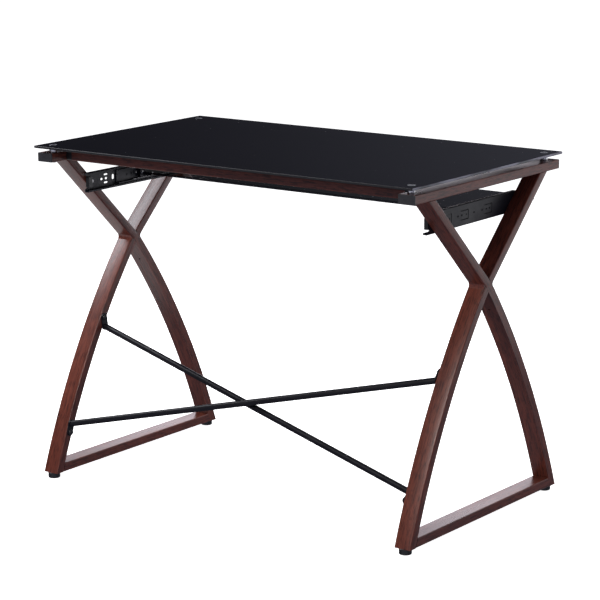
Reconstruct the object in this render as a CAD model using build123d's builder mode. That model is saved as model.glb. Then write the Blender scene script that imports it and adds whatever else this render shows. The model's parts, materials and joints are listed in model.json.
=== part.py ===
"""Glass-topped computer desk on two X-shaped tube frames, with a keyboard tray on telescopic slides.

Millimetres. +Z is up, +Y points to the person who sits at the desk, and X runs along the desk.
The origin is on the floor, under the middle of the glass top. Left is -X and rear is -Y.
"""

from build123d import *
from math import asin, atan2, cos, hypot, radians, sin, sqrt
import os

# Overall size
desk_width = 1000
desk_depth = 590
desk_height = 760

# Glass top and its four through fittings
glass_thickness = 5
glass_corner = 3
glass_edge = 0.8
fitting_x = 474
fitting_y = 259
fitting_diameter = 18
fitting_hole = 18.6
cap_crown = 1.6
cap_edge = 0.5
spacer_height = 10
spacer_edge = 0.6
pad_height = 1
bolt_diameter = 6
bolt_clearance = 6.6
bolt_head = 14
bolt_head_height = 3.4
bolt_head_round = 1.8
bolt_in_cap = 3
hex_socket = 2.6
hex_depth = 2.2

# Rectangular tube of the side frames and the cross beams
tube_wide = 40
tube_deep = 20
wall = 1.5
tube_fillet = 2
side_x = 478
inner_face_x = side_x - tube_wide / 2
glass_bottom_z = desk_height - glass_thickness
top_tube_top_z = glass_bottom_z - spacer_height - pad_height
top_tube_bottom_z = top_tube_top_z - tube_deep
top_tube_half = 281
end_cap_flange = 3
end_cap_plug = 13
end_cap_round = 1

# Legs, in the plane of a side frame
half = tube_deep / 2
half_bore = half - wall
leg_top_y = 219
crossing_z = 516
foot_height = 13
leg_foot_y = 281
bow_half_turn = 9.5
vent_hole = 4.5
vent_drop = 56
outside_y = 400
mitre_reach = 60

# Feet
foot_diameter = 27
foot_y = 279.5
foot_round = 2.5
foot_chamfer = 0.6
foot_plug = 14
plug_gap = 0.1

# Cross beams
beam_y = 215
beam_connector = 16
beam_plug = 22
connector_inset = 0.6
beam_screw_diameter = 4
beam_screw_head = 8
beam_screw_head_height = 2
beam_screw_head_round = 1
beam_screw_length = 12
beam_screw_bore = 13

# X-brace at the rear
rod_diameter = 14
brace_top_z = 346
brace_bottom_z = 102
rod_from_bolt = 18
rising_rod_shift = 5
falling_rod_shift = -12.4
tab_width = 18
tab_thickness = 3
brace_bolt_head = 13
brace_bolt_dome = 5
brace_bolt_round = 4.4
brace_bolt_reach = 12

# Telescopic slides; u runs in from the side frame's inner face, v up from the slide's middle
slide_z = 665.5
slide_gauge = 1.2
outer_rear_y = -175
outer_length = 347
outer_half_height = 22.5
outer_depth = 11.5
middle_rear_y = -70
middle_length = 300
middle_half_height = 17
middle_u = 2.6
inner_rear_y = 5
inner_length = 250
inner_half_height = 10.2
inner_u = 4.6
slide_thickness = 12.7
lip = 2.8
mouth_cut = 3
outer_corner = 2.5
middle_corner = 2
inner_corner = 1.8
outer_mouth = outer_half_height - slide_gauge - lip
middle_mouth = 13.5
inner_mouth = 7
outer_cage_rear_y = -100
outer_cage_length = 210
outer_ball_radius = 1.85
outer_ball_v = 19.15
outer_ball_u = 6.5
inner_cage_rear_y = -20
inner_cage_length = 150
inner_ball_radius = 2.5
inner_ball_v = 13.0
inner_ball_u = 7.4
outer_strip = 5.6
inner_strip = 4.6
cage_gauge = 0.6
ball_pitch = 10
slide_screw_rear_y = -153.5
slide_screw_front_y = 157
slide_screw_diameter = 4
slide_screw_hole = 4.4
slide_screw_length = 8
pan_head = 9.5
pan_height = 2.2
wafer_height = 0.9
slide_head_round = 0.7

# Openings in the webs of the slide members, each as (y, v, width, height)
slit = 2.2
slit_v = 9.5
slit_length = 30
notch = (outer_rear_y, 0, 16, 32)
pilot = 4.6
pilot_ys = (-60, -45, 2, 34, 50, 64)
small_pilots = [(-27.5, 0, 3.6, 3.6)]
slit_ends = {"left": (-20, 73), "right": (-85, -20, 73)}
rear_holes = {
    "left": [
        (-118.5, 0, 8, 5),
        (-103, 0, 8, 5),
        (-104, 9.2, 13, 3.6),
        (-104, -9.2, 13, 3.6),
        (-79, 0.5, 7.5, 11.7),
    ],
    "right": [(-124, 0, 4.6, 4.6), (-109, 0, 4.6, 4.6), (-92, 0, 3.6, 3.6)],
}
middle_holes = [
    (-33, 0, 4, 4),
    (-18, 1, 4, 6),
    (-9, 2, 2, 9),
    (1, 1, 3, 7),
    (40, 0, 5, 5),
    (110, 0, 20, 6),
    (180, 0, 5, 5),
]

# Rear stop of a slide, and the guard strip behind the right one's openings
stop_rear_y = -172
stop_front_y = -160
stop_half_height = 12
stop_u = 10.5
stop_round = 1.5
guard_front_y = -77
guard_thickness = 1
guard_screw_hole = 12

# Keyboard tray
tray_rear_y = 18
tray_front_y = 255
tray_half_width = 443.8
tray_bottom_z = 660
tray_thickness = 5
bracket_gauge = 1.2
bracket_ledge = 20
bracket_half_height = 10
bracket_bottom_z = tray_bottom_z - 1 - bracket_gauge
bracket_screw_z = 671
bracket_screw_diameter = 3.5
bracket_screw_head = 7
bracket_screw_head_height = 1.6
bracket_screw_head_round = 0.5
bracket_screw_ys = (45, 136.5, 228)
tray_pad_diameter = 12
tray_pad_inset = 10
rivet_y = 11.5
rivet_head = 6
rivet_head_height = 1.2
rivet_head_round = 0.4
rivet_shank = 3

# Lengths and angles worked out from the above
upper_rise = top_tube_bottom_z - crossing_z
upper_lean = atan2(leg_top_y, upper_rise)
foot_drop = crossing_z - foot_height
bow_radius = hypot(leg_foot_y, foot_drop) / (2 * sin(radians(bow_half_turn)))
lower_lean = atan2(leg_foot_y, foot_drop) + radians(bow_half_turn)
bow_centre_y = -bow_radius * cos(lower_lean)
bow_centre_z = crossing_z - bow_radius * sin(lower_lean)
mitre_lean = (upper_lean + lower_lean) / 2
mitre_stretch = 1 / cos((upper_lean - lower_lean) / 2)

sides = {"left": -1, "right": 1}
ends = {"rear": -1, "front": 1}


def write(part, name):
    part.label = name
    export_step(part, f"parts/{name}.step")


def bow_y(z):
    """Distance of a lower leg's middle line from the frame's middle at height z."""
    return bow_centre_y + sqrt(bow_radius**2 - (z - bow_centre_z) ** 2)


def leg_sketch(plane, outline_points):
    """Closed outline of (y, z) points as a sketch on a plane across X."""
    with BuildSketch(plane) as outline:
        with BuildLine():
            Polyline(*outline_points, close=True)
        make_face()
    return outline.sketch


def bowed_sketch(plane, end, half_width, window):
    """The bowed band of a lower leg, cut to a window of (y, z) points."""
    with BuildSketch(plane) as band:
        with Locations((end * bow_centre_y, bow_centre_z)):
            Circle(bow_radius + half_width)
            Circle(bow_radius - half_width, mode=Mode.SUBTRACT)
        with BuildLine():
            Polyline(*window, close=True)
        make_face(mode=Mode.INTERSECT)
    return band.sketch


def upper_outline(end, half_width, mitred):
    """Corners of a straight upper leg from the crossing to the top tube."""
    top_half = half_width / cos(upper_lean)
    angle = mitre_lean if mitred else upper_lean
    reach = half_width * (mitre_stretch if mitred else 1)
    across_y = reach * cos(angle)
    across_z = reach * sin(angle)
    return [
        (-end * across_y, crossing_z + across_z),
        (end * (leg_top_y - top_half), top_tube_bottom_z),
        (end * (leg_top_y + top_half), top_tube_bottom_z),
        (end * across_y, crossing_z - across_z),
    ]


def lower_window(end):
    """Region that a lower leg keeps: below the mitre at the crossing and above its foot."""
    across_y = mitre_reach * cos(mitre_lean)
    across_z = mitre_reach * sin(mitre_lean)
    return [
        (-end * across_y, crossing_z - across_z),
        (end * across_y, crossing_z + across_z),
        (end * outside_y, crossing_z / 2),
        (end * outside_y, foot_height),
        (0, foot_height),
    ]


def leg_part(end, upper, side, inset):
    """Solid envelope of a leg, or its bore when inset is the wall thickness."""
    width = tube_wide - 2 * inset
    plane = Plane.YZ.offset(side * side_x - width / 2)
    if upper:
        outline = leg_sketch(plane, upper_outline(end, half - inset, end < 0))
    else:
        outline = bowed_sketch(plane, end, half - inset, lower_window(end))
    with BuildPart() as envelope:
        extrude(outline, amount=width, dir=(1, 0, 0))
    return envelope.part


def slide_x(side, u):
    return side * (inner_face_x - u)


def cross_hole(x, y, z, diameter, length):
    """A hole along X, centred at a point."""
    with Locations(Location((x, y, z), (0, 90, 0))):
        Cylinder(diameter / 2, length, mode=Mode.SUBTRACT)


def make_glass_top():
    with BuildPart() as glass_top:
        with BuildSketch(Plane.XY.offset(glass_bottom_z)):
            RectangleRounded(desk_width, desk_depth, glass_corner)
            with GridLocations(2 * fitting_x, 2 * fitting_y, 2, 2):
                Circle(fitting_hole / 2, mode=Mode.SUBTRACT)
        extrude(amount=glass_thickness)
        rims = [f.outer_wire().edges() for f in glass_top.faces().filter_by(Plane.XY)]
        chamfer([edge for rim in rims for edge in rim], glass_edge)
    write(glass_top.part, "glass_top")


def make_top_fittings():
    places = GridLocations(2 * fitting_x, 2 * fitting_y, 2, 2)
    with BuildPart() as top_caps:
        with BuildSketch(Plane.XY.offset(glass_bottom_z)):
            with places:
                Circle(fitting_diameter / 2)
        extrude(amount=glass_thickness)
        chamfer(top_caps.faces().group_by(Axis.Z)[-1].edges(), cap_edge)
        with BuildSketch(Plane.XY.offset(glass_bottom_z)):
            with places:
                Circle(bolt_diameter / 2 + plug_gap)
        extrude(amount=glass_thickness - cap_crown, mode=Mode.SUBTRACT)
    write(top_caps.part, "top_caps")

    with BuildPart() as glass_pads:
        with BuildSketch(Plane.XY.offset(glass_bottom_z - pad_height)):
            with places:
                Circle(fitting_diameter / 2)
                Circle(bolt_clearance / 2, mode=Mode.SUBTRACT)
        extrude(amount=pad_height)
    write(glass_pads.part, "glass_pads")

    with BuildPart() as glass_spacers:
        with BuildSketch(Plane.XY.offset(top_tube_top_z)):
            with places:
                Circle(fitting_diameter / 2)
        extrude(amount=spacer_height)
        chamfer(glass_spacers.faces().filter_by(Plane.XY).edges(), spacer_edge)
        with BuildSketch(Plane.XY.offset(top_tube_top_z)):
            with places:
                Circle(bolt_clearance / 2)
        extrude(amount=spacer_height, mode=Mode.SUBTRACT)
    write(glass_spacers.part, "glass_spacers")

    head_z = top_tube_bottom_z - bolt_head_height
    with BuildPart() as glass_bolts:
        with BuildSketch(Plane.XY.offset(head_z)):
            with places:
                Circle(bolt_head / 2)
        extrude(amount=bolt_head_height)
        fillet(glass_bolts.faces().group_by(Axis.Z)[0].edges(), bolt_head_round)
        with BuildSketch(Plane.XY.offset(top_tube_bottom_z)):
            with places:
                Circle(bolt_diameter / 2)
        extrude(amount=glass_bottom_z + bolt_in_cap - top_tube_bottom_z)
        with BuildSketch(Plane.XY.offset(head_z)):
            with places:
                RegularPolygon(hex_socket, 6)
        extrude(amount=hex_depth, mode=Mode.SUBTRACT)
    write(glass_bolts.part, "glass_bolts")


def make_top_tube(name, side):
    with BuildPart() as top_tube:
        with BuildSketch(Plane.XZ.offset(-top_tube_half)):
            with Locations((side * side_x, top_tube_bottom_z + half)):
                RectangleRounded(tube_wide, tube_deep, tube_fillet)
                Rectangle(tube_wide - 2 * wall, tube_deep - 2 * wall, mode=Mode.SUBTRACT)
        extrude(amount=2 * top_tube_half)
        with BuildSketch(Plane.XY.offset(top_tube_bottom_z)):
            with Locations((side * fitting_x, -fitting_y), (side * fitting_x, fitting_y)):
                Circle(bolt_clearance / 2)
        extrude(amount=tube_deep, mode=Mode.SUBTRACT)
    write(top_tube.part, f"{name}_top_tube")


def make_end_cap(name, side, end_name, end):
    with BuildPart() as end_cap:
        with BuildSketch(Plane.XZ.offset(-end * top_tube_half)):
            with Locations((side * side_x, top_tube_bottom_z + half)):
                RectangleRounded(tube_wide, tube_deep, tube_fillet)
        extrude(amount=-end * end_cap_flange)
        outside = end_cap.faces().filter_by(Plane.XZ).sort_by(Axis.Y)[-1 if end > 0 else 0]
        fillet(outside.edges(), end_cap_round)
        with BuildSketch(Plane.XZ.offset(-end * top_tube_half)):
            with Locations((side * side_x, top_tube_bottom_z + half)):
                bore_inset = 2 * (wall + plug_gap)
                Rectangle(tube_wide - bore_inset, tube_deep - bore_inset)
        extrude(amount=end * end_cap_plug)
    write(end_cap.part, f"{name}_top_{end_name}_cap")


def make_legs(name, side):
    """Rear-top to front-bottom runs through the crossing; the other two legs butt against it."""
    rear_upper = leg_part(-1, True, side, 0)
    front_lower = leg_part(1, False, side, 0)
    hole_x = side * inner_face_x

    with BuildPart() as rear_upper_leg:
        add(rear_upper)
        add(leg_part(-1, True, side, wall), mode=Mode.SUBTRACT)
        cross_hole(hole_x, slide_screw_rear_y, slide_z, slide_screw_diameter + 0.2, 4 * wall)
    write(rear_upper_leg.part, f"{name}_rear_upper_leg")

    vent_z = crossing_z - vent_drop
    vent_lean = asin((vent_z - bow_centre_z) / bow_radius)
    with BuildPart() as front_lower_leg:
        add(front_lower)
        add(leg_part(1, False, side, wall), mode=Mode.SUBTRACT)
        inner_radius = bow_radius - half + wall / 2
        vent_y = bow_centre_y + inner_radius * cos(vent_lean)
        vent_z = bow_centre_z + inner_radius * sin(vent_lean)
        vent = Plane(origin=(side * side_x, vent_y, vent_z), z_dir=(0, cos(vent_lean), sin(vent_lean)))
        with Locations(vent):
            Cylinder(vent_hole / 2, 4 * wall, mode=Mode.SUBTRACT)
    write(front_lower_leg.part, f"{name}_front_lower_leg")

    with BuildPart() as front_upper_leg:
        add(leg_part(1, True, side, 0))
        add(leg_part(1, True, side, wall), mode=Mode.SUBTRACT)
        add(rear_upper, mode=Mode.SUBTRACT)
        add(front_lower, mode=Mode.SUBTRACT)
        cross_hole(hole_x, slide_screw_front_y, slide_z, slide_screw_diameter + 0.2, 4 * wall)
    write(front_upper_leg.part, f"{name}_front_upper_leg")

    with BuildPart() as rear_lower_leg:
        add(leg_part(-1, False, side, 0))
        add(leg_part(-1, False, side, wall), mode=Mode.SUBTRACT)
        add(rear_upper, mode=Mode.SUBTRACT)
        add(front_lower, mode=Mode.SUBTRACT)
        for z in (brace_top_z, brace_bottom_z):
            cross_hole(hole_x, -bow_y(z), z, bolt_diameter + 0.2, 4 * wall)
    write(rear_lower_leg.part, f"{name}_rear_lower_leg")

    with BuildPart() as bottom_tube:
        with BuildSketch(Plane.XZ.offset(-leg_foot_y)):
            with Locations((side * side_x, foot_height + half)):
                RectangleRounded(tube_wide, tube_deep, tube_fillet)
                Rectangle(tube_wide - 2 * wall, tube_deep - 2 * wall, mode=Mode.SUBTRACT)
        extrude(amount=2 * leg_foot_y)
        add(leg_part(-1, False, side, 0), mode=Mode.SUBTRACT)
        add(front_lower, mode=Mode.SUBTRACT)
    write(bottom_tube.part, f"{name}_bottom_tube")


def make_foot(name, side, end_name, end):
    plug_width = tube_wide - 2 * (wall + plug_gap)
    plug_plane = Plane.YZ.offset(side * side_x - plug_width / 2)
    plug_window = [
        (0, foot_height),
        (0, foot_height + foot_plug),
        (end * outside_y, foot_height + foot_plug),
        (end * outside_y, foot_height),
    ]
    with BuildPart() as foot:
        with BuildSketch(Plane.XY):
            with Locations((side * side_x, end * foot_y)):
                Circle(foot_diameter / 2)
        extrude(amount=foot_height)
        fillet(foot.faces().group_by(Axis.Z)[0].edges(), foot_round)
        chamfer(foot.faces().group_by(Axis.Z)[-1].edges(), foot_chamfer)
        plug = bowed_sketch(plug_plane, end, half_bore - plug_gap, plug_window)
        extrude(plug, amount=plug_width, dir=(1, 0, 0))
    write(foot.part, f"{name}_{end_name}_foot")


def make_cross_beam(end_name, end):
    beam_half = inner_face_x - beam_connector
    middle = (end * beam_y, top_tube_bottom_z + half)
    screw_x = beam_half - beam_plug / 2
    with BuildPart() as cross_beam:
        with BuildSketch(Plane.YZ.offset(-beam_half)):
            with Locations(middle):
                RectangleRounded(tube_wide, tube_deep, tube_fillet)
                Rectangle(tube_wide - 2 * wall, tube_deep - 2 * wall, mode=Mode.SUBTRACT)
        extrude(amount=2 * beam_half)
        with BuildSketch(Plane.XY.offset(top_tube_bottom_z)):
            with Locations((-screw_x, end * beam_y), (screw_x, end * beam_y)):
                Circle(beam_screw_diameter / 2 + plug_gap)
        extrude(amount=2 * wall, mode=Mode.SUBTRACT)
    write(cross_beam.part, f"{end_name}_cross_beam")

    with BuildPart() as beam_connectors:
        for side in sides.values():
            with BuildSketch(Plane.YZ.offset(side * beam_half)):
                with Locations(middle):
                    outer_inset = 2 * connector_inset
                    RectangleRounded(tube_wide - outer_inset, tube_deep - outer_inset, tube_fillet)
            extrude(amount=side * beam_connector)
            with BuildSketch(Plane.YZ.offset(side * beam_half)):
                with Locations(middle):
                    bore_inset = 2 * (wall + plug_gap)
                    Rectangle(tube_wide - bore_inset, tube_deep - bore_inset)
            extrude(amount=-side * beam_plug)
        with BuildSketch(Plane.XY.offset(top_tube_bottom_z)):
            with Locations((-screw_x, end * beam_y), (screw_x, end * beam_y)):
                Circle(beam_screw_diameter / 2)
        extrude(amount=beam_screw_bore, mode=Mode.SUBTRACT)
    write(beam_connectors.part, f"{end_name}_beam_connectors")


def make_beam_screws():
    screw_x = inner_face_x - beam_connector - beam_plug / 2
    with BuildPart() as beam_screws:
        with BuildSketch(Plane.XY.offset(top_tube_bottom_z)):
            with GridLocations(2 * screw_x, 2 * beam_y, 2, 2):
                Circle(beam_screw_head / 2)
        extrude(amount=-beam_screw_head_height)
        fillet(beam_screws.faces().group_by(Axis.Z)[0].edges(), beam_screw_head_round)
        with BuildSketch(Plane.XY.offset(top_tube_bottom_z)):
            with GridLocations(2 * screw_x, 2 * beam_y, 2, 2):
                Circle(beam_screw_diameter / 2 - plug_gap)
        extrude(amount=beam_screw_length)
    write(beam_screws.part, "beam_screws")


def brace_points(lower_side, shift):
    """Bolt and rod-end places, as (side, y, z), of a rod that starts low on one side."""
    bottom = Vector(0, -bow_y(brace_bottom_z), brace_bottom_z)
    top = Vector(0, -bow_y(brace_top_z), brace_top_z)
    along = (top - bottom).normalized()
    outward = Vector(0, -along.Z, along.Y)
    low_end = bottom + along * rod_from_bolt + outward * shift
    high_end = top - along * rod_from_bolt + outward * shift
    return [(lower_side, bottom, low_end), (-lower_side, top, high_end)]


def make_brace_rod(name, lower_side, shift):
    ends_of_rod = brace_points(lower_side, shift)
    tab_face_x = inner_face_x - tab_thickness
    low, high = [Vector(side * inner_face_x, end.Y, end.Z) for side, _, end in ends_of_rod]
    with BuildPart() as rod:
        with BuildSketch(Plane(origin=low, z_dir=high - low)):
            Circle(rod_diameter / 2)
        extrude(amount=(high - low).length)
        Box(2 * tab_face_x + tab_thickness, desk_depth, 2 * desk_height, mode=Mode.INTERSECT)
        for side, bolt, end in ends_of_rod:
            with BuildSketch(Plane.YZ.offset(side * tab_face_x)):
                with Locations((bolt.Y, bolt.Z), (end.Y, end.Z)):
                    Circle(tab_width / 2)
                make_hull()
                with Locations((bolt.Y, bolt.Z)):
                    Circle(bolt_clearance / 2, mode=Mode.SUBTRACT)
            extrude(amount=side * tab_thickness)
    write(rod.part, name)


def screw_along_x(side, seat_x, y, z, head, head_height, head_round, shank, length):
    """A screw whose head stands inward from seat_x and whose shank runs outward."""
    seat = Plane(origin=(side * seat_x, y, z), z_dir=(-side, 0, 0))
    with BuildPart() as screw:
        with BuildSketch(seat):
            Circle(head / 2)
        extrude(amount=head_height)
        crown = screw.faces().filter_by(Axis.X).sort_by(Axis.X)[-1 if side < 0 else 0]
        fillet(crown.edges(), head_round)
        with BuildSketch(seat):
            Circle(shank / 2)
        extrude(amount=-length)
    return screw.part


def make_brace_bolts():
    head = (brace_bolt_head, brace_bolt_dome, brace_bolt_round)
    shank = (bolt_diameter, tab_thickness + brace_bolt_reach)
    with BuildPart() as brace_bolts:
        for side in sides.values():
            for z in (brace_top_z, brace_bottom_z):
                add(screw_along_x(side, inner_face_x - tab_thickness, -bow_y(z), z, *head, *shank))
    write(brace_bolts.part, "brace_bolts")


def slide_channel(side, u_range, half_height, mouth, mouth_at_leg, corner):
    """Section of a slide member: a rounded box of thin sheet with one long mouth."""
    u_low, u_high = u_range
    middle_x = slide_x(side, (u_low + u_high) / 2)
    deep = u_high - u_low
    mouth_u = u_low if mouth_at_leg else u_high
    with Locations((middle_x, slide_z)):
        RectangleRounded(deep, 2 * half_height, corner)
        RectangleRounded(
            deep - 2 * slide_gauge,
            2 * (half_height - slide_gauge),
            corner - slide_gauge,
            mode=Mode.SUBTRACT,
        )
    with Locations((slide_x(side, mouth_u), slide_z)):
        Rectangle(mouth_cut, 2 * mouth, mode=Mode.SUBTRACT)


def web_holes(side, u, places):
    """Sketch of round holes and slots in a slide's web, each as (y, v, width, height)."""
    with BuildSketch(Plane.YZ.offset(slide_x(side, u))) as holes:
        for y, v, width, height in places:
            with Locations((y, slide_z + v)):
                if width == height:
                    Circle(width / 2)
                elif width > height:
                    SlotOverall(width, height)
                else:
                    SlotOverall(height, width, rotation=90)
    return holes.sketch


def make_slide(name, side):
    with BuildPart() as slide_outer:
        with BuildSketch(Plane.XZ.offset(-outer_rear_y)):
            outer_us = (0, outer_depth)
            slide_channel(side, outer_us, outer_half_height, outer_mouth, False, outer_corner)
        extrude(amount=-outer_length)
        slit_middle = slit_length / 2
        slit_vs = (slit_v, -slit_v)
        places = [(y - slit_middle, v, slit_length, slit) for y in slit_ends[name] for v in slit_vs]
        places += [(y, 0, slit, 2 * slit_v) for y in slit_ends[name]]
        screw_ys = (slide_screw_rear_y, slide_screw_front_y)
        places += [(y, 0, slide_screw_hole, slide_screw_hole) for y in screw_ys]
        places += [(y, 0, pilot, pilot) for y in pilot_ys]
        holes = web_holes(side, slide_gauge / 2, places + small_pilots + rear_holes[name] + [notch])
        extrude(holes, amount=slide_gauge, both=True, mode=Mode.SUBTRACT)
    write(slide_outer.part, f"{name}_slide_outer")

    with BuildPart() as slide_middle:
        with BuildSketch(Plane.XZ.offset(-middle_rear_y)):
            middle_us = (middle_u, outer_depth)
            slide_channel(side, middle_us, middle_half_height, middle_mouth, False, middle_corner)
        extrude(amount=-middle_length)
        holes = web_holes(side, middle_u + slide_gauge / 2, middle_holes)
        extrude(holes, amount=slide_gauge, both=True, mode=Mode.SUBTRACT)
    write(slide_middle.part, f"{name}_slide_middle")

    with BuildPart() as slide_inner:
        with BuildSketch(Plane.XZ.offset(-inner_rear_y)):
            inner_us = (inner_u, slide_thickness)
            slide_channel(side, inner_us, inner_half_height, inner_mouth, True, inner_corner)
        extrude(amount=-inner_length)
        lift = bracket_screw_z - slide_z
        clearance = bracket_screw_diameter + 0.2
        fixing = [(y, lift, clearance, clearance) for y in bracket_screw_ys]
        fixing += [(rivet_y, 0, rivet_shank + 0.2, rivet_shank + 0.2)]
        holes = web_holes(side, slide_thickness - slide_gauge / 2, fixing)
        extrude(holes, amount=slide_gauge, both=True, mode=Mode.SUBTRACT)
    write(slide_inner.part, f"{name}_slide_inner")


def make_cage(name, side, rear_y, length, ball_u, ball_v, ball_radius, strip_width):
    """Two strips of balls, one over and one under the member that they carry."""
    balls = int(length // ball_pitch) - 1
    with BuildPart() as cage:
        for v in (-ball_v, ball_v):
            middle = (slide_x(side, ball_u), rear_y + length / 2, slide_z + v)
            with Locations(middle):
                Box(strip_width, length, cage_gauge)
                with GridLocations(0, ball_pitch, 1, balls):
                    Sphere(ball_radius)
    write(cage.part, name)


def make_slide_stop(name, side):
    """A stop block at the rear of the outer member; the right one carries a guard strip."""
    middle_y = (stop_rear_y + stop_front_y) / 2
    with BuildPart() as slide_stop:
        with BuildSketch(Plane.YZ.offset(slide_x(side, slide_gauge))):
            with Locations((middle_y, slide_z)):
                RectangleRounded(stop_front_y - stop_rear_y, 2 * stop_half_height, stop_round)
        extrude(amount=-side * (stop_u - slide_gauge))
        if side > 0:
            with BuildSketch(Plane.YZ.offset(slide_x(side, slide_gauge))):
                with Locations(((stop_rear_y + guard_front_y) / 2, slide_z)):
                    RectangleRounded(guard_front_y - stop_rear_y, 2 * stop_half_height, stop_round)
                with Locations((slide_screw_rear_y, slide_z)):
                    Circle(guard_screw_hole / 2, mode=Mode.SUBTRACT)
            extrude(amount=-side * guard_thickness)
    write(slide_stop.part, f"{name}_slide_stop")


def make_slide_screws():
    seat_x = inner_face_x - slide_gauge
    kinds = {"rear": (slide_screw_rear_y, pan_height), "front": (slide_screw_front_y, wafer_height)}
    for name, (y, height) in kinds.items():
        with BuildPart() as slide_screws:
            for side in sides.values():
                shank = (slide_screw_diameter, slide_screw_length)
                add(screw_along_x(side, seat_x, y, slide_z, pan_head, height, slide_head_round, *shank))
        write(slide_screws.part, f"slide_{name}_screws")


def make_tray():
    length = tray_front_y - tray_rear_y
    middle_y = (tray_front_y + tray_rear_y) / 2
    with BuildPart() as tray_panel:
        with BuildSketch(Plane.XY.offset(tray_bottom_z)):
            with Locations((0, middle_y)):
                RectangleRounded(2 * tray_half_width, length, glass_corner)
        extrude(amount=tray_thickness)
        chamfer(tray_panel.faces().filter_by(Plane.XY).edges(), glass_edge)
    write(tray_panel.part, "tray_panel")

    ledge_x = tray_half_width - tray_pad_inset
    with BuildPart() as tray_pads:
        with BuildSketch(Plane.XY.offset(bracket_bottom_z + bracket_gauge)):
            with Locations((0, middle_y)):
                with GridLocations(2 * ledge_x, length / 2 - tray_pad_diameter, 2, 3):
                    Circle(tray_pad_diameter / 2)
        extrude(amount=tray_bottom_z - bracket_bottom_z - bracket_gauge)
    write(tray_pads.part, "tray_pads")

    flange_x = inner_face_x - slide_thickness
    for name, side in sides.items():
        with BuildPart() as bracket:
            with BuildSketch(Plane.XZ.offset(-tray_rear_y)):
                upright = (side * (flange_x - bracket_gauge / 2), slide_z)
                with Locations(upright):
                    Rectangle(bracket_gauge, 2 * bracket_half_height)
                shelf = (side * (flange_x - bracket_ledge / 2), bracket_bottom_z + bracket_gauge / 2)
                with Locations(shelf):
                    Rectangle(bracket_ledge, bracket_gauge)
            extrude(amount=-length)
            for y in bracket_screw_ys:
                hole = bracket_screw_diameter + 0.2
                cross_hole(side * flange_x, y, bracket_screw_z, hole, 4 * bracket_gauge)
        write(bracket.part, f"{name}_tray_bracket")

    seat_x = flange_x - bracket_gauge
    with BuildPart() as bracket_screws:
        for side in sides.values():
            for y in bracket_screw_ys:
                head = (bracket_screw_head, bracket_screw_head_height, bracket_screw_head_round)
                shank = (bracket_screw_diameter, bracket_gauge + 2 * slide_gauge)
                add(screw_along_x(side, seat_x, y, bracket_screw_z, *head, *shank))
    write(bracket_screws.part, "tray_bracket_screws")

    with BuildPart() as rivets:
        for side in sides.values():
            rivet = (rivet_head, rivet_head_height, rivet_head_round, rivet_shank, 2 * slide_gauge)
            add(screw_along_x(side, flange_x, rivet_y, slide_z, *rivet))
    write(rivets.part, "slide_end_rivets")


os.makedirs("parts", exist_ok=True)

make_glass_top()
make_top_fittings()
for side_name, side_sign in sides.items():
    make_top_tube(side_name, side_sign)
    make_legs(side_name, side_sign)
    for end_name, end_sign in ends.items():
        make_end_cap(side_name, side_sign, end_name, end_sign)
        make_foot(side_name, side_sign, end_name, end_sign)
    make_slide(side_name, side_sign)
    make_slide_stop(side_name, side_sign)
    make_cage(
        f"{side_name}_outer_cage",
        side_sign,
        outer_cage_rear_y,
        outer_cage_length,
        outer_ball_u,
        outer_ball_v,
        outer_ball_radius,
        outer_strip,
    )
    make_cage(
        f"{side_name}_inner_cage",
        side_sign,
        inner_cage_rear_y,
        inner_cage_length,
        inner_ball_u,
        inner_ball_v,
        inner_ball_radius,
        inner_strip,
    )
for end_name, end_sign in ends.items():
    make_cross_beam(end_name, end_sign)
make_beam_screws()
make_brace_rod("brace_rod_rising", -1, rising_rod_shift)
make_brace_rod("brace_rod_falling", 1, falling_rod_shift)
make_brace_bolts()
make_slide_screws()
make_tray()
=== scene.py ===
import json
import math

import bmesh
import bpy
from mathutils import Matrix, Vector


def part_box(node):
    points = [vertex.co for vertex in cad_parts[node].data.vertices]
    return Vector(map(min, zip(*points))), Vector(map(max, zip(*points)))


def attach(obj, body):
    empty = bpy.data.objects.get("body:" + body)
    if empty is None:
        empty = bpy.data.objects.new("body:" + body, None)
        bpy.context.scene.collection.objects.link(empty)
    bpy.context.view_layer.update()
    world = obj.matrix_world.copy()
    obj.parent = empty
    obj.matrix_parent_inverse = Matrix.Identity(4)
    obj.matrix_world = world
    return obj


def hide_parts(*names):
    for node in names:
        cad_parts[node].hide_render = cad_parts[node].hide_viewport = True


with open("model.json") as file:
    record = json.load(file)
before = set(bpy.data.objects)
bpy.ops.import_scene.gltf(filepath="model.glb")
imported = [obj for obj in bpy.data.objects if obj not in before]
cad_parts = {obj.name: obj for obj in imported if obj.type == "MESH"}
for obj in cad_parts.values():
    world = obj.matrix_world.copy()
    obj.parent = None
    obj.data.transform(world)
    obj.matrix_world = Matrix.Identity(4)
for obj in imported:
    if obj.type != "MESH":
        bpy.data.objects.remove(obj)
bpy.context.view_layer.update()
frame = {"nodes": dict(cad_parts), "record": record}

BODIES = frame["record"]["behaviour"]["bodies"]
BODY_OF = {node: body for body, nodes in BODIES.items() for node in nodes}
SLOT_OF = {row["node"]: row["material_slot"] for row in frame["record"]["subparts"]}
SIDES = ("left", "right")
ENDS = {"rear": -1, "front": 1}

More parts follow.
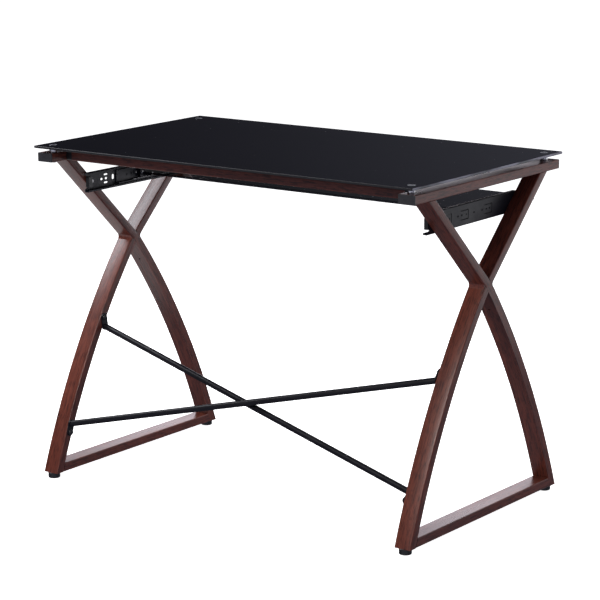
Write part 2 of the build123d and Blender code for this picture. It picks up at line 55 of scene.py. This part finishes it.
# Rectangular tube and the shape of a side frame, in metres; a side frame is mirrored front to rear
TUBE_WIDE = 0.040
TUBE_DEEP = 0.020
TUBE_ROUND = 0.0022
TUBE_ROUND_STEPS = 4
CROSSING_Z = 0.516
LEG_TOP_Y = 0.219
LEG_TOP_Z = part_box("left_top_tube")[0].z
LEG_FOOT_Y = 0.281
LEG_FOOT_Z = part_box("left_bottom_tube")[0].z
BOW_HALF_TURN = math.radians(9.5)
BOW_STEPS = 28
BOW_OVERRUN = math.radians(1.2)
UPPER_RUN = 0.4
UPPER_RUN_SUNK = 0.03
FILLET_RADIUS = 0.011
FILLET_STEPS = 8
FILLET_ROOT = 0.004
FILLET_SINK = 1.03

GLASS_HALF_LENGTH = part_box("glass_top")[1].x
GLASS_HALF_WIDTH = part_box("glass_top")[1].y

FOOT_DROP = CROSSING_Z - LEG_FOOT_Z
UPPER_LEAN = math.atan2(LEG_TOP_Y, LEG_TOP_Z - CROSSING_Z)
CHORD_LEAN = math.atan2(LEG_FOOT_Y, FOOT_DROP)
LOWER_LEAN = CHORD_LEAN + BOW_HALF_TURN
MITRE_LEAN = (UPPER_LEAN + LOWER_LEAN) / 2
BOW_RADIUS = math.hypot(LEG_FOOT_Y, FOOT_DROP) / (2 * math.sin(BOW_HALF_TURN))
BOW_CENTRE_Y = -BOW_RADIUS * math.cos(LOWER_LEAN)
BOW_CENTRE_Z = CROSSING_Z - BOW_RADIUS * math.sin(LOWER_LEAN)

X_AXIS, Y_AXIS, Z_AXIS = Vector((1, 0, 0)), Vector((0, 1, 0)), Vector((0, 0, 1))
CROSSING = Z_AXIS * CROSSING_Z


# ---------------------------------------------------------------- shader wrapper


class Value:
    """A shader socket that ordinary arithmetic works on."""

    def __init__(self, finish, socket):
        self.finish = finish
        self.socket = socket

    def math(self, operation, *others):
        return self.finish.node("Math", {"operation": operation}, [self, *others])

    def __add__(self, other):
        return self.math("ADD", other)

    def __mul__(self, other):
        return self.math("MULTIPLY", other)

    def __sub__(self, other):
        return self.math("SUBTRACT", other)

    def __rsub__(self, other):
        return self.finish.node("Math", {"operation": "SUBTRACT"}, [other, self])

    __radd__ = __add__
    __rmul__ = __mul__

    def between(self, low, high, start=0.0, end=1.0):
        """Maps low..high smoothly onto start..end."""
        inputs = {"Value": self, "From Min": low, "From Max": high, "To Min": start, "To Max": end}
        return self.finish.node("MapRange", {"interpolation_type": "SMOOTHSTEP"}, inputs)


class Finish:
    """The nodes of one material, or of the studio's surroundings."""

    def __init__(self, owner):
        self.owner = owner
        owner.use_nodes = True
        self.nodes = owner.node_tree.nodes
        self.links = owner.node_tree.links
        self.nodes.clear()

    def node(self, kind, settings=None, inputs=None, out=0):
        """Makes a node, sets its settings, then fills its sockets with values or links."""
        node = self.nodes.new("ShaderNode" + kind)
        for key, value in (settings or {}).items():
            setattr(node, key, value)
        pairs = inputs.items() if isinstance(inputs, dict) else enumerate(inputs or [])
        for key, value in pairs:
            if isinstance(value, Value):
                self.links.new(value.socket, node.inputs[key])
            else:
                node.inputs[key].default_value = value
        return Value(self, node.outputs[out])

    def place(self):
        return self.node("TexCoord", out="Object")

    def split(self, vector):
        separate = self.node("SeparateXYZ", inputs=[vector]).socket.node
        return [Value(self, socket) for socket in separate.outputs]

    def join(self, x, y, z):
        return self.node("CombineXYZ", inputs=[x, y, z])

    def noise(self, vector, scale, detail=2.0, rough=0.5, warp=0.0):
        inputs = {"Vector": vector, "Scale": scale, "Detail": detail}
        return self.node("TexNoise", inputs={**inputs, "Roughness": rough, "Distortion": warp})

    def mix(self, factor, low, high):
        """Mixes two colours, each given as (r, g, b) or a link."""
        ends = [c if isinstance(c, Value) else (*c, 1.0) for c in (low, high)]
        return self.node("Mix", {"data_type": "RGBA"}, {0: factor, 6: ends[0], 7: ends[1]}, out=2)

    def bump(self, height, strength, distance):
        inputs = {"Height": height, "Strength": strength, "Distance": distance}
        return self.node("Bump", inputs=inputs)

    def surface(self, **sockets):
        """Ends the material in a Principled BSDF; names use _ for spaces."""
        inputs = {}
        for key, value in sockets.items():
            colour = isinstance(value, tuple) and len(value) == 3 and "Color" in key
            inputs[key.replace("_", " ")] = (*value, 1.0) if colour else value
        shader = self.node("BsdfPrincipled", inputs=inputs)
        output = self.nodes.new("ShaderNodeOutputMaterial")
        self.links.new(shader.socket, output.inputs["Surface"])
        return self.owner

    def lobe(self, direction, aim, edge, core, strength):
        """A soft glow around a direction, between two cosines."""
        aim = Vector(aim).normalized()
        facing = self.node("VectorMath", {"operation": "DOT_PRODUCT"}, [direction, aim], out="Value")
        return facing.between(edge, core, 0.0, strength)


def new_finish(name):
    return Finish(bpy.data.materials.new(name))


# ---------------------------------------------------------------- finishes


def grain_place(finish, along):
    """Grain coordinates: along a tube, across it in its frame's plane, and across the other way."""
    x, y, z = finish.split(finish.place())
    if along == "x":
        return x, y, z
    if along == "y":
        return y, z, x
    kind, end = along
    if kind == "bow":
        dy = y - end * BOW_CENTRE_Y
        dz = z - BOW_CENTRE_Z
        radius = (dy * dy + dz * dz).math("SQRT")
        turn = dz.math("ARCTAN2", dy * end)
        return turn * BOW_RADIUS, radius, x
    lean_y = end * math.sin(UPPER_LEAN)
    lean_z = math.cos(UPPER_LEAN)
    return y * lean_y + z * lean_z, y * lean_z - z * lean_y, x


def walnut_steel(name, along):
    """Red walnut grain printed on steel tube under a satin clear coat."""
    f = new_finish(name)
    run, across, other = grain_place(f, along)
    drift = f.noise(f.join(run * 4.0, across * 30.0, other * 30.0), 1.0, 2.0)
    bands = f.noise(f.join(run * 9.0, across * 150.0, other * 150.0), 1.0, 3.0, 0.6, 0.5)
    streaks = f.noise(f.join(run * 26.0, across * 520.0, other * 520.0), 1.0, 3.0, 0.6)
    flecks = f.noise(f.join(run * 42.0, across * 270.0, other * 270.0), 1.0, 2.0, 0.5)
    pores = f.noise(f.join(run * 90.0, across * 1500.0, other * 1500.0), 1.0, 2.0, 0.5)
    warm = f.mix(drift.between(0.3, 0.7), (0.132, 0.034, 0.022), (0.182, 0.047, 0.030))
    dark = f.mix(bands.between(0.48, 0.74, 0.0, 0.55), warm, (0.058, 0.016, 0.012))
    flecked = f.mix(flecks.between(0.52, 0.66, 0.0, 0.62), dark, (0.034, 0.011, 0.009))
    fine = f.mix(streaks.between(0.50, 0.70, 0.0, 0.75), flecked, (0.030, 0.009, 0.008))
    light = f.mix(streaks.between(0.44, 0.26, 0.0, 0.40), fine, (0.31, 0.095, 0.062))
    colour = f.mix(pores.between(0.58, 0.72, 0.0, 0.60), light, (0.014, 0.006, 0.005))
    rough = drift.between(0.3, 0.7, 0.27, 0.34) + pores.between(0.55, 0.75, 0.0, 0.08)
    height = streaks * 0.4 + pores * -0.6
    return f.surface(
        Base_Color=colour,
        Roughness=rough,
        IOR=1.45,
        Coat_Weight=0.05,
        Coat_Roughness=0.2,
        Normal=f.bump(height, 0.22, 0.0002),
    )


def black_glass():
    """Clear glass painted black behind, polished, with faint smears; the pale streaky band on its short
    end edges is a painted reflection.
    """
    f = new_finish("black_glass")
    place = f.place()
    cloud = f.noise(place, 3.0, 3.0)
    smear = f.noise(place, 26.0, 5.0, 0.6, 0.4)
    paint = f.mix(cloud, (0.0022, 0.0020, 0.0042), (0.0032, 0.0029, 0.0058))
    x, y, z = f.split(place)
    # Painted reflection: a pale streaky band along the short end edges stands in for light reflected in
    # the polished edge
    side = x.math("ABSOLUTE").between(GLASS_HALF_LENGTH - 0.0012, GLASS_HALF_LENGTH - 0.0004)
    painted_reflection_streak = f.noise(f.join(y * 9.0, z * 60.0, 0.0), 1.0, 2.0).between(0.38, 0.56, 0.25, 1.0)
    colour = f.mix(side * painted_reflection_streak, paint, (0.27, 0.26, 0.32))
    edge = y.math("ABSOLUTE").between(GLASS_HALF_WIDTH - 0.0016, GLASS_HALF_WIDTH - 0.0010)
    rough = smear.between(0.35, 0.75, 0.035, 0.085) + edge * 0.5
    return f.surface(Base_Color=colour, Roughness=rough, IOR=1.5, Specular_IOR_Level=0.5)


def moulded(name, colour, rough, grain_scale, grain_height, shine=0.5):
    """Moulded plastic or powder coat with a fine texture."""
    f = new_finish(name)
    place = f.place()
    grain = f.noise(place, grain_scale, 3.0, 0.6)
    patch = f.noise(place, 34.0, 2.0)
    shade = f.mix(patch, tuple(0.8 * c for c in colour), tuple(1.2 * c for c in colour))
    fine = f.mix(grain.between(0.4, 0.7, 0.0, 0.5), shade, tuple(1.9 * c for c in colour))
    worn = patch.between(0.3, 0.7, rough - 0.05, rough + 0.05)
    return f.surface(
        Base_Color=fine,
        Roughness=worn,
        Specular_IOR_Level=shine,
        Normal=f.bump(grain, 0.5, grain_height),
    )


def metal(name, colour, rough, line_scale):
    """Bare or plated metal with fine turning or drawing marks."""
    f = new_finish(name)
    x, y, z = f.split(f.place())
    marks = f.noise(f.join(x * line_scale, y * line_scale, z * line_scale * 4.0), 1.0, 3.0)
    cloud = f.noise(f.place(), 60.0, 2.0)
    shade = f.mix(cloud, tuple(0.85 * c for c in colour), colour)
    worn = marks.between(0.3, 0.7, rough * 0.8, rough * 1.3)
    return f.surface(Base_Color=shade, Metallic=1.0, Roughness=worn, Normal=f.bump(marks, 0.12, 0.0001))


def clear_plastic():
    """Soft clear plastic of the pads."""
    f = new_finish("clear_pad")
    cloud = f.noise(f.place(), 300.0, 2.0)
    shade = f.mix(cloud, (0.34, 0.36, 0.37), (0.46, 0.48, 0.49))
    return f.surface(Base_Color=shade, Roughness=cloud.between(0.3, 0.7, 0.3, 0.45), IOR=1.45)


WALNUT_ALONG = {"top_tube": "y", "bottom_tube": "y", "cross_beam": "x"}
for _end_name, _end in ENDS.items():
    WALNUT_ALONG[f"{_end_name}_upper_leg"] = ("straight", _end)
    WALNUT_ALONG[f"{_end_name}_lower_leg"] = ("bow", _end)
WALNUT = {kind: walnut_steel("walnut_" + kind, along) for kind, along in WALNUT_ALONG.items()}

FINISHES = {
    "black_glass": black_glass(),
    "cap_metal": metal("cap_metal", (0.42, 0.43, 0.47), 0.34, 900.0),
    "chrome": metal("chrome", (0.80, 0.80, 0.82), 0.10, 700.0),
    "screw_steel": metal("screw_steel", (0.52, 0.52, 0.53), 0.30, 1200.0),
    "ball_steel": metal("ball_steel", (0.45, 0.45, 0.46), 0.22, 1200.0),
    "textured_plastic": moulded("textured_plastic", (0.020, 0.020, 0.024), 0.48, 1400.0, 0.0004),
    "black_plastic": moulded("black_plastic", (0.010, 0.010, 0.011), 0.38, 900.0, 0.0001),
    "slide_steel": moulded("slide_steel", (0.0095, 0.0095, 0.0145), 0.36, 1100.0, 0.00012, 0.30),
    "rod_steel": moulded("rod_steel", (0.0045, 0.0045, 0.0075), 0.42, 1200.0, 0.00012, 0.25),
    "black_bolt": moulded("black_bolt", (0.012, 0.012, 0.014), 0.30, 800.0, 0.0001),
    "clear_pad": clear_plastic(),
}


def finish_of(node):
    """The material for a CAD node or for the piece that stands for it."""
    slot = SLOT_OF[node]
    if slot != "walnut_steel":
        return FINISHES[slot]
    return next(material for kind, material in WALNUT.items() if node.endswith(kind))


for _name, _node in frame["nodes"].items():
    _node.data.materials.clear()
    _node.data.materials.append(finish_of(_name))


# ---------------------------------------------------------------- mesh tools


def piece_from(bm, node, smooth_angle=35.0):
    """Turns a bmesh into the piece that stands for a CAD node and rides on its body."""
    bmesh.ops.recalc_face_normals(bm, faces=bm.faces)
    mesh = bpy.data.meshes.new("fine_" + node)
    bm.to_mesh(mesh)
    bm.free()
    mesh.shade_smooth()
    mesh.set_sharp_from_angle(angle=math.radians(smooth_angle))
    mesh.materials.append(finish_of(node))
    piece = bpy.data.objects.new("fine_" + node, mesh)
    bpy.context.scene.collection.objects.link(piece)
    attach(piece, BODY_OF[node])
    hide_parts(node)
    return piece


def tube_section(bm, centre, wide_axis, deep_axis):
    """A rounded rectangle face of the tube's section."""
    wide = wide_axis * TUBE_WIDE / 2
    deep = deep_axis * TUBE_DEEP / 2
    turns = ((-1, -1), (1, -1), (1, 1), (-1, 1))
    corners = [bm.verts.new(centre + wide * w + deep * d) for w, d in turns]
    bm.faces.new(corners)
    bmesh.ops.bevel(
        bm,
        geom=corners,
        offset=TUBE_ROUND,
        affect="VERTICES",
        segments=TUBE_ROUND_STEPS,
        profile=0.5,
        material=-1,
    )
    return bm.faces[:]


def extrude_section(bm, faces, shift):
    """Draws a section out along a straight run, keeping both ends closed."""
    grown = bmesh.ops.extrude_face_region(bm, geom=faces, use_keep_orig=True)
    ends = [v for v in grown["geom"] if isinstance(v, bmesh.types.BMVert)]
    bmesh.ops.translate(bm, verts=ends, vec=shift)


def cut(bm, point, normal):
    """Cuts away what lies on the normal's side of a plane and closes the end."""
    geom = bm.verts[:] + bm.edges[:] + bm.faces[:]
    done = bmesh.ops.bisect_plane(bm, geom=geom, plane_co=point, plane_no=normal, clear_outer=True)
    rim = [e for e in done["geom_cut"] if isinstance(e, bmesh.types.BMEdge)]
    bmesh.ops.holes_fill(bm, edges=rim, sides=0)


def straight_tube(node, run_axis):
    """A top tube or beam as one straight rounded run, to its CAD box."""
    low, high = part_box(node)
    wide_axis = X_AXIS + Y_AXIS - run_axis
    centre = (low + high) / 2
    run = run_axis * (high - low).dot(run_axis)
    bm = bmesh.new()
    faces = tube_section(bm, centre - run / 2, wide_axis, Z_AXIS)
    extrude_section(bm, faces, run)
    return piece_from(bm, node)


def cut_at_through_run(bm, end):
    """Cuts a butted leg off at the face of the run that passes through the crossing."""
    outward = Vector((0, end * math.cos(MITRE_LEAN), end * math.sin(MITRE_LEAN)))
    cut(bm, CROSSING + outward * TUBE_DEEP / 2, -outward)


def weld_fillet(bm, middle_x, end):
    """The hollow weld between an upper and a lower leg, in the notch on one end's side."""
    upper_face = Vector((0, end * math.cos(UPPER_LEAN), -math.sin(UPPER_LEAN)))
    lower_face = Vector((0, end * math.cos(LOWER_LEAN), math.sin(LOWER_LEAN)))
    opening = upper_face.angle(lower_face)
    bisector = (upper_face + lower_face).normalized()
    reach = 1.0 / math.cos(opening / 2)
    half_width = TUBE_WIDE / 2 - 0.6 * TUBE_ROUND
    notch = CROSSING + X_AXIS * (middle_x - half_width) + bisector * reach * TUBE_DEEP / 2
    centre = notch + bisector * reach * FILLET_RADIUS
    start = bm.verts.new(centre - upper_face * FILLET_RADIUS * FILLET_SINK)
    axis = upper_face.cross(lower_face).normalized()
    arc = bmesh.ops.spin(bm, geom=[start], cent=centre, axis=axis, angle=opening, steps=FILLET_STEPS)
    root = bm.verts.new(notch - bisector * FILLET_ROOT)
    rim = [e for e in bm.edges if not e.link_faces]
    rim += [bm.edges.new((arc["geom_last"][0], root)), bm.edges.new((root, start))]
    face = bmesh.ops.contextual_create(bm, geom=rim)["faces"]
    extrude_section(bm, face, X_AXIS * 2 * half_width)


def upper_leg(name, end):
    """A straight leg from the crossing up to the top tube; the rear one runs through."""
    node = f"{name}_upper_leg"
    low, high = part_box(node)
    middle_x = (low.x + high.x) / 2
    along = Vector((0, end * math.sin(UPPER_LEAN), math.cos(UPPER_LEAN)))
    across = Vector((0, along.z, -along.y))
    start = CROSSING + X_AXIS * middle_x - along * UPPER_RUN_SUNK
    bm = bmesh.new()
    faces = tube_section(bm, start, X_AXIS, across)
    extrude_section(bm, faces, along * UPPER_RUN)
    cut(bm, Z_AXIS * LEG_TOP_Z, Z_AXIS)
    if end < 0:
        cut(bm, CROSSING, Vector((0, math.sin(MITRE_LEAN), -math.cos(MITRE_LEAN))))
    else:
        cut_at_through_run(bm, end)
        weld_fillet(bm, middle_x, end)
    return piece_from(bm, node)


def rear_lower_leg(name):
    """The bowed rear leg from the crossing down to its foot."""
    node = f"{name}_rear_lower_leg"
    end = ENDS["rear"]
    low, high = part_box(node)
    middle_x = (low.x + high.x) / 2
    centre = Vector((middle_x, end * BOW_CENTRE_Y, BOW_CENTRE_Z))
    lean = LOWER_LEAN + BOW_OVERRUN
    outward = Vector((0, end * math.cos(lean), math.sin(lean)))
    bm = bmesh.new()
    faces = tube_section(bm, centre + outward * BOW_RADIUS, X_AXIS, outward)
    sweep = 2 * BOW_HALF_TURN + 2 * BOW_OVERRUN
    bmesh.ops.spin(bm, geom=faces, cent=centre, axis=X_AXIS, angle=-end * sweep, steps=BOW_STEPS)
    cut(bm, Z_AXIS * LEG_FOOT_Z, -Z_AXIS)
    cut_at_through_run(bm, end)
    weld_fillet(bm, middle_x, end)
    return piece_from(bm, node)


for _side_name in SIDES:
    straight_tube(f"{_side_name}_top_tube", Y_AXIS)
    for _end_name, _end in ENDS.items():
        upper_leg(f"{_side_name}_{_end_name}", _end)
    rear_lower_leg(_side_name)
for _end_name in ENDS:
    straight_tube(f"{_end_name}_cross_beam", X_AXIS)


# ---------------------------------------------------------------- camera, lights and floor


def make_camera():
    eye = Vector((3.05275, -4.17938, 1.54556))
    aim = Vector((0.0684, -0.0792, 0.4441))
    camera_data = bpy.data.cameras.new("camera")
    camera_data.lens = 143.6
    camera_data.sensor_width = 36.0
    camera_data.clip_end = 200.0
    camera = bpy.data.objects.new("camera", camera_data)
    turn = (aim - eye).to_track_quat("-Z", "Y").to_matrix().to_4x4()
    roll = Matrix.Rotation(-0.00365, 4, "Z")
    camera.matrix_world = Matrix.Translation(eye) @ turn @ roll
    bpy.context.scene.collection.objects.link(camera)
    bpy.context.scene.camera = camera


def make_softbox(name, place, aim, width, height, power, colour):
    light = bpy.data.lights.new(name, "AREA")
    light.shape = "RECTANGLE"
    light.size = width
    light.size_y = height
    light.energy = power
    light.color = colour
    softbox = bpy.data.objects.new(name, light)
    turn = (Vector(aim) - Vector(place)).to_track_quat("-Z", "Y").to_matrix().to_4x4()
    softbox.matrix_world = Matrix.Translation(Vector(place)) @ turn
    softbox.visible_camera = False
    bpy.context.scene.collection.objects.link(softbox)


def make_floor():
    f = new_finish("floor")
    cloud = f.noise(f.place(), 0.6, 2.0)
    shade = f.mix(cloud, (0.90, 0.90, 0.90), (0.93, 0.93, 0.93))
    material = f.surface(
        Base_Color=shade,
        Roughness=0.9,
        Specular_IOR_Level=0.0,
        Emission_Color=(1.0, 1.0, 1.0),
        Emission_Strength=1.0,
    )
    bm = bmesh.new()
    bmesh.ops.create_grid(bm, x_segments=1, y_segments=1, size=60.0)
    mesh = bpy.data.meshes.new("floor")
    bm.to_mesh(mesh)
    bm.free()
    mesh.materials.append(material)
    floor = bpy.data.objects.new("floor", mesh)
    bpy.context.scene.collection.objects.link(floor)
    floor.visible_diffuse = False
    floor.visible_glossy = False
    floor.visible_shadow = False


def make_world():
    """Dim studio with a glow on the right, light from below and light off the floor behind the desk."""
    world = bpy.data.worlds.new("studio")
    f = Finish(world)
    direction = f.node("TexCoord", out="Generated")
    glow = f.lobe(direction, (0.809, 0.588, 0.0), -0.12, 0.5, 0.20)
    below = f.lobe(direction, (-0.35, 0.25, -0.90), 0.60, 0.98, 0.10)
    floor_bounce = f.lobe(direction, (0.15, -0.85, -0.5), 0.3, 0.95, 0.42)
    level = glow + below + floor_bounce + 0.020
    background = f.node("Background", inputs={"Color": (0.80, 0.82, 1.0, 1.0), "Strength": level})
    output = f.nodes.new("ShaderNodeOutputWorld")
    f.links.new(background.socket, output.inputs["Surface"])
    bpy.context.scene.world = world


# Name, place, aim, width, height, power and colour of each light
DESK = (0.0, 0.0, 0.5)
PURE_WHITE = (1.0, 1.0, 1.0)
SOFTBOXES = (
    ("high_left_softbox", (-2.15, -0.6, 2.4), (-0.4, 0.0, 0.5), 1.1, 1.3, 46.0, (0.93, 0.94, 1.0)),
    ("rear_softbox", (-0.25, -4.1, 3.25), DESK, 1.2, 1.4, 135.0, (1.0, 0.96, 0.92)),
    ("overhead_softbox", (0.2, 1.6, 3.4), DESK, 2.6, 1.4, 50.0, PURE_WHITE),
    ("right_panel", (1.34, 1.25, 0.78), (0.498, 0.05, 0.78), 2.4, 1.5, 8.0, PURE_WHITE),
    ("low_back_panel", (-1.0, 1.5, 0.47), (-1.0, 0.0, 0.47), 2.6, 0.62, 13.0, (0.98, 0.92, 1.0)),
    ("left_floor_bounce", (-1.25, 0.05, 0.01), (-1.25, 0.05, 1.0), 1.0, 1.6, 3.8, (1.0, 0.93, 0.93)),
)

make_camera()
make_floor()
make_world()
for _row in SOFTBOXES:
    make_softbox(*_row)
bpy.context.scene.view_settings.view_transform = "Standard"
